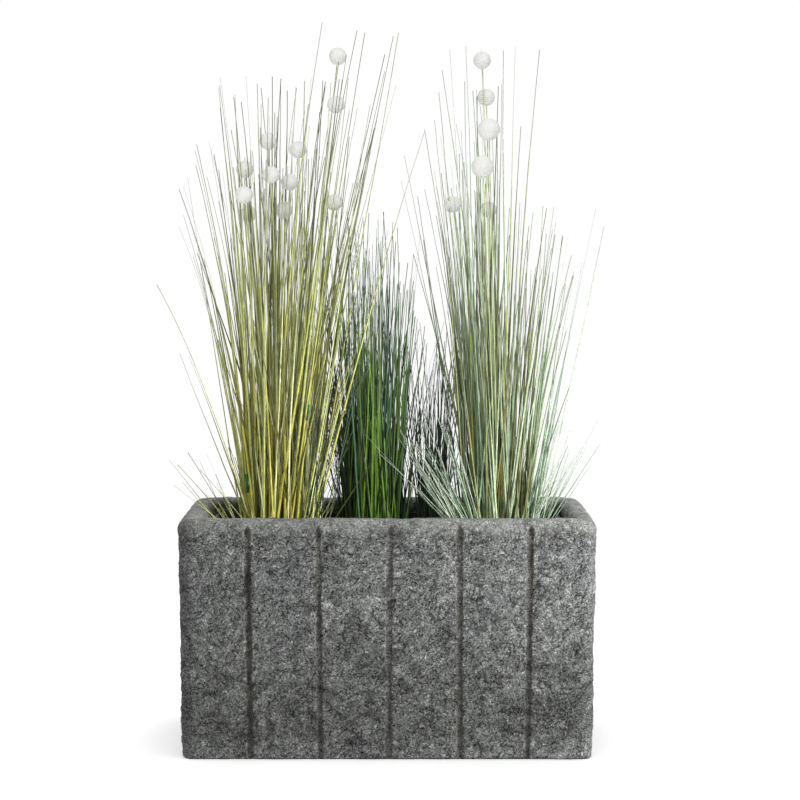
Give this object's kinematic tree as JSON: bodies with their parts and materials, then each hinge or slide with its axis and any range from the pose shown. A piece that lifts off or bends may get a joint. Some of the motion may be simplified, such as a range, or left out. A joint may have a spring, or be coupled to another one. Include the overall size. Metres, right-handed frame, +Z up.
{
  "type": "planter box",
  "caption": "Rectangular stone-effect trough planter with grooved panels and a rolled rim, holding a lift-out liner with potted artificial grasses and pompom flowers.",
  "frame": {"origin": "centre of the flat underside of the planter, on the ground", "axes": "+Z up, +X along the long side to the right as seen from the front, -Y out of the long front face"},
  "size_m": [0.8688, 0.4079, 1.4],
  "materials": {
    "stone": "matte",
    "black_plastic": "matte",
    "bark": "matte",
    "cement": "matte",
    "grass_left": "matte",
    "grass_centre": "matte",
    "grass_rear": "matte",
    "grass_right": "matte",
    "stem_wire": "matte",
    "pompom": "matte"
  },
  "bodies": {
    "planter": {"planter_shell": "stone"},
    "insert": {"liner": "black_plastic", "riser": "black_plastic", "bark_fill": "bark"},
    "plant_left": {"pot_left": "black_plastic", "filling_left": "cement", "grass_left_1": "grass_left", "grass_left_2": "grass_left", "grass_left_3": "grass_left", "grass_left_4": "grass_left", "stem_left_01": "stem_wire", "pompom_left_01": "pompom", "stem_left_02": "stem_wire", "pompom_left_02": "pompom", "stem_left_03": "stem_wire", "pompom_left_03": "pompom", "stem_left_04": "stem_wire", "pompom_left_04": "pompom", "stem_left_05": "stem_wire", "pompom_left_05": "pompom", "stem_left_06": "stem_wire", "pompom_left_06": "pompom", "stem_left_07": "stem_wire", "pompom_left_07": "pompom", "stem_left_08": "stem_wire", "pompom_left_08": "pompom", "stem_left_09": "stem_wire", "pompom_left_09": "pompom", "stem_left_10": "stem_wire", "pompom_left_10": "pompom", "stem_left_11": "stem_wire", "pompom_left_11": "pompom"},
    "plant_centre": {"pot_centre": "black_plastic", "filling_centre": "cement", "grass_centre_1": "grass_centre", "grass_centre_2": "grass_centre", "grass_centre_3": "grass_centre"},
    "plant_rear": {"pot_rear": "black_plastic", "filling_rear": "cement", "grass_rear_1": "grass_rear"},
    "plant_right": {"pot_right": "black_plastic", "filling_right": "cement", "grass_right_1": "grass_right", "grass_right_2": "grass_right", "grass_right_3": "grass_right", "grass_right_4": "grass_right", "stem_right_01": "stem_wire", "pompom_right_01": "pompom", "stem_right_02": "stem_wire", "pompom_right_02": "pompom", "stem_right_03": "stem_wire", "pompom_right_03": "pompom", "stem_right_04": "stem_wire", "pompom_right_04": "pompom", "stem_right_05": "stem_wire", "pompom_right_05": "pompom", "stem_right_06": "stem_wire", "pompom_right_06": "pompom"}
  },
  "joints": [
    {"name": "insert_lift", "type": "slide", "parent": "planter", "child": "insert", "axis": [0, 0, 1], "range_m": [0, 0.46]},
    {"name": "plant_left_lift", "type": "slide", "parent": "insert", "child": "plant_left", "axis": [0, 0, 1], "range_m": [0, 0.25]},
    {"name": "plant_centre_lift", "type": "slide", "parent": "insert", "child": "plant_centre", "axis": [0, 0, 1], "range_m": [0, 0.25]},
    {"name": "plant_rear_lift", "type": "slide", "parent": "insert", "child": "plant_rear", "axis": [0, 0, 1], "range_m": [0, 0.25]},
    {"name": "plant_right_lift", "type": "slide", "parent": "insert", "child": "plant_right", "axis": [0, 0, 1], "range_m": [0, 0.25]}
  ]
}
